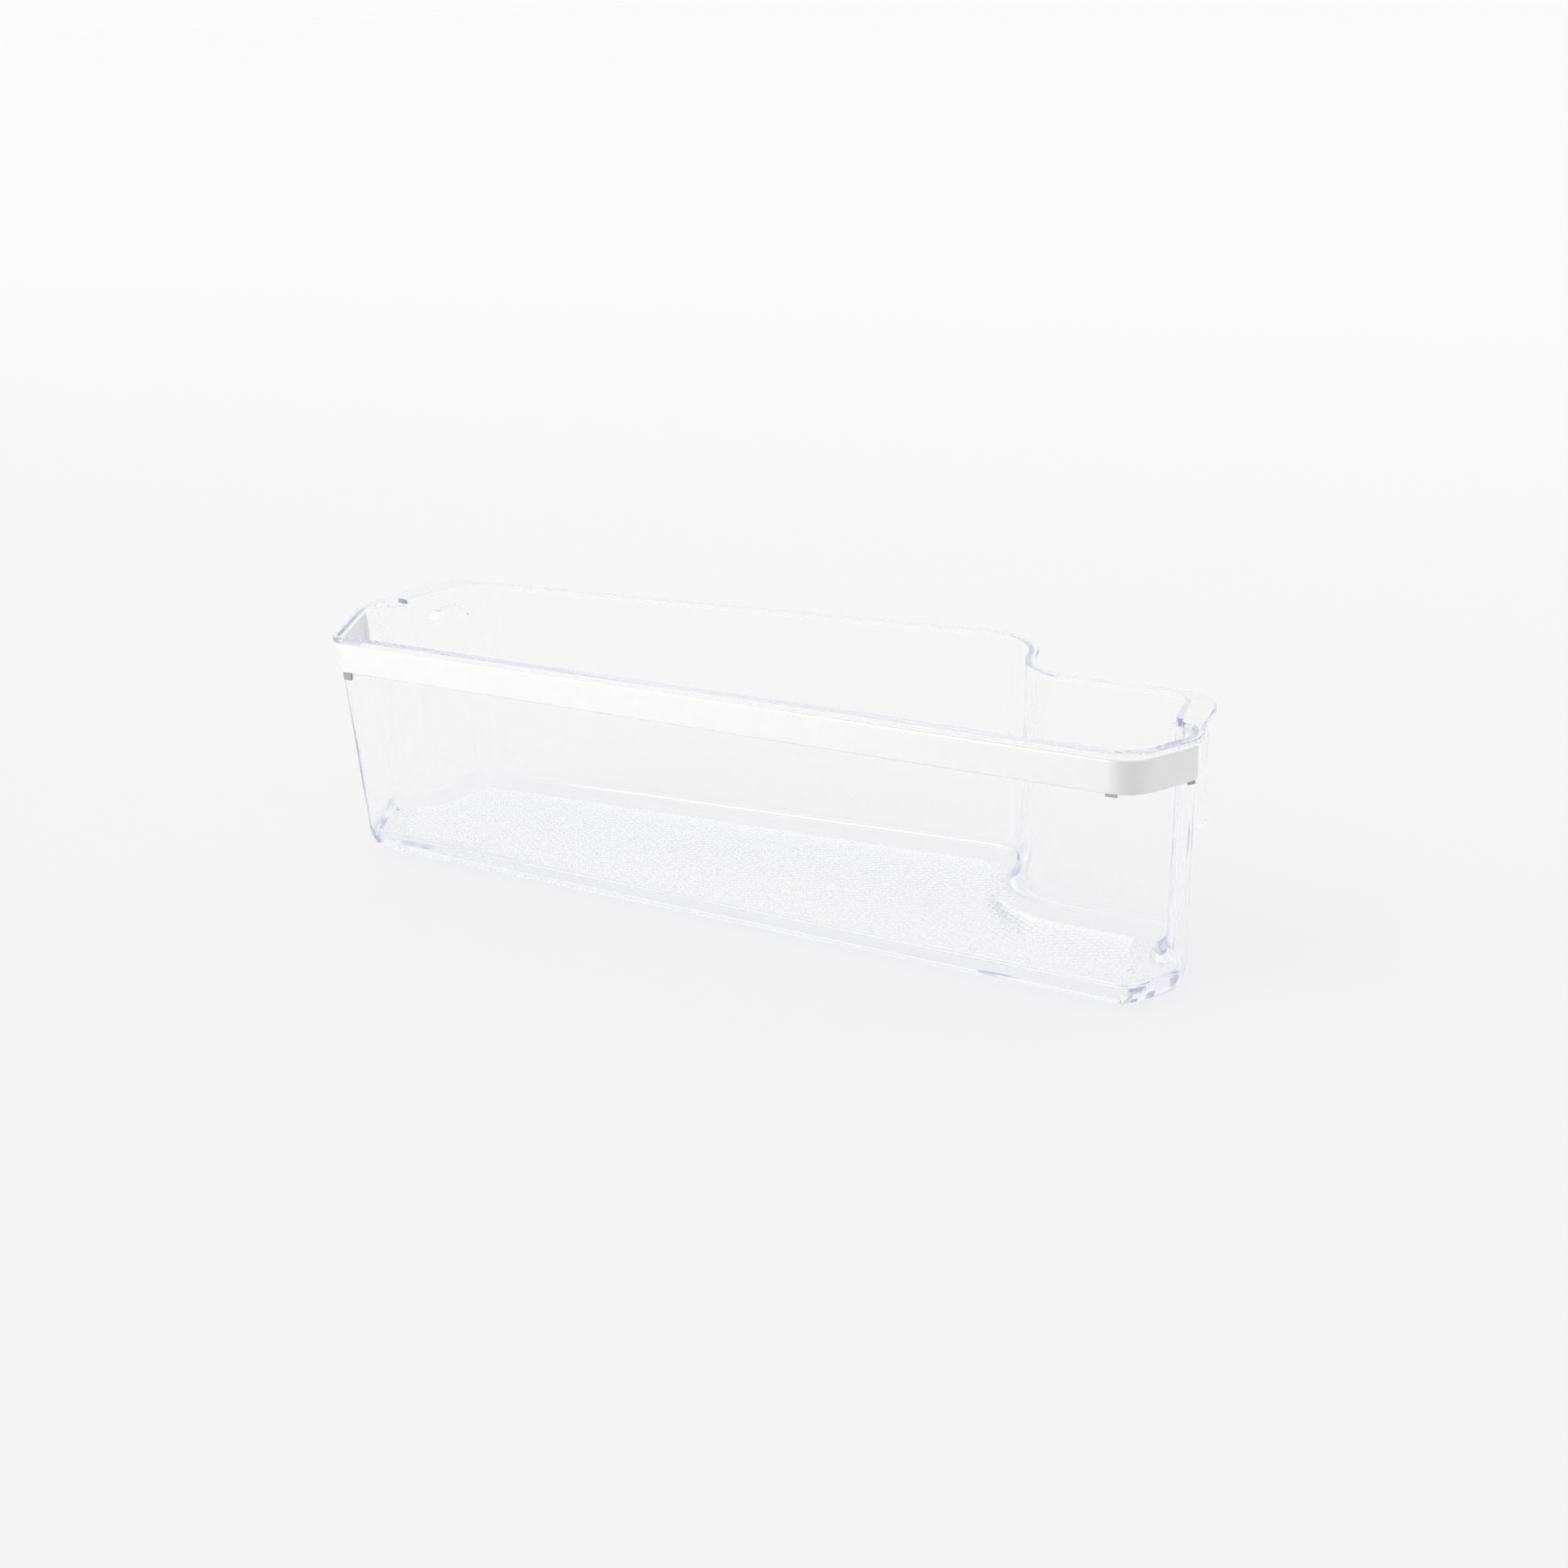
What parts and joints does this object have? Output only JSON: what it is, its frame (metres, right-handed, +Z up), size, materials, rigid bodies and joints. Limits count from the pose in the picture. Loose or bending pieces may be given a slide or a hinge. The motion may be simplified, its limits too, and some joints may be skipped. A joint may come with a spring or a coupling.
{
  "type": "fridge door shelf",
  "caption": "Clear moulded refrigerator door shelf with a stepped back, hanger pockets with snap fingers at both ends, and a satin trim band clipped round its front.",
  "frame": {"origin": "on the underside of the base, half way along the rim's length and half way between the front and back walls", "axes": "+X along the shelf, to the right as seen from the front; -Y to the front, which faces the room; +Y to the door; +Z up"},
  "size_m": [0.4413, 0.1251, 0.114],
  "materials": {
    "clear_plastic": "clear, glossy, with a faint violet-blue tint at the edges",
    "satin_trim": "satin silver-white"
  },
  "bodies": {
    "root": {"shelf_bin": "clear_plastic", "front_trim": "satin_trim"}
  },
  "joints": []
}
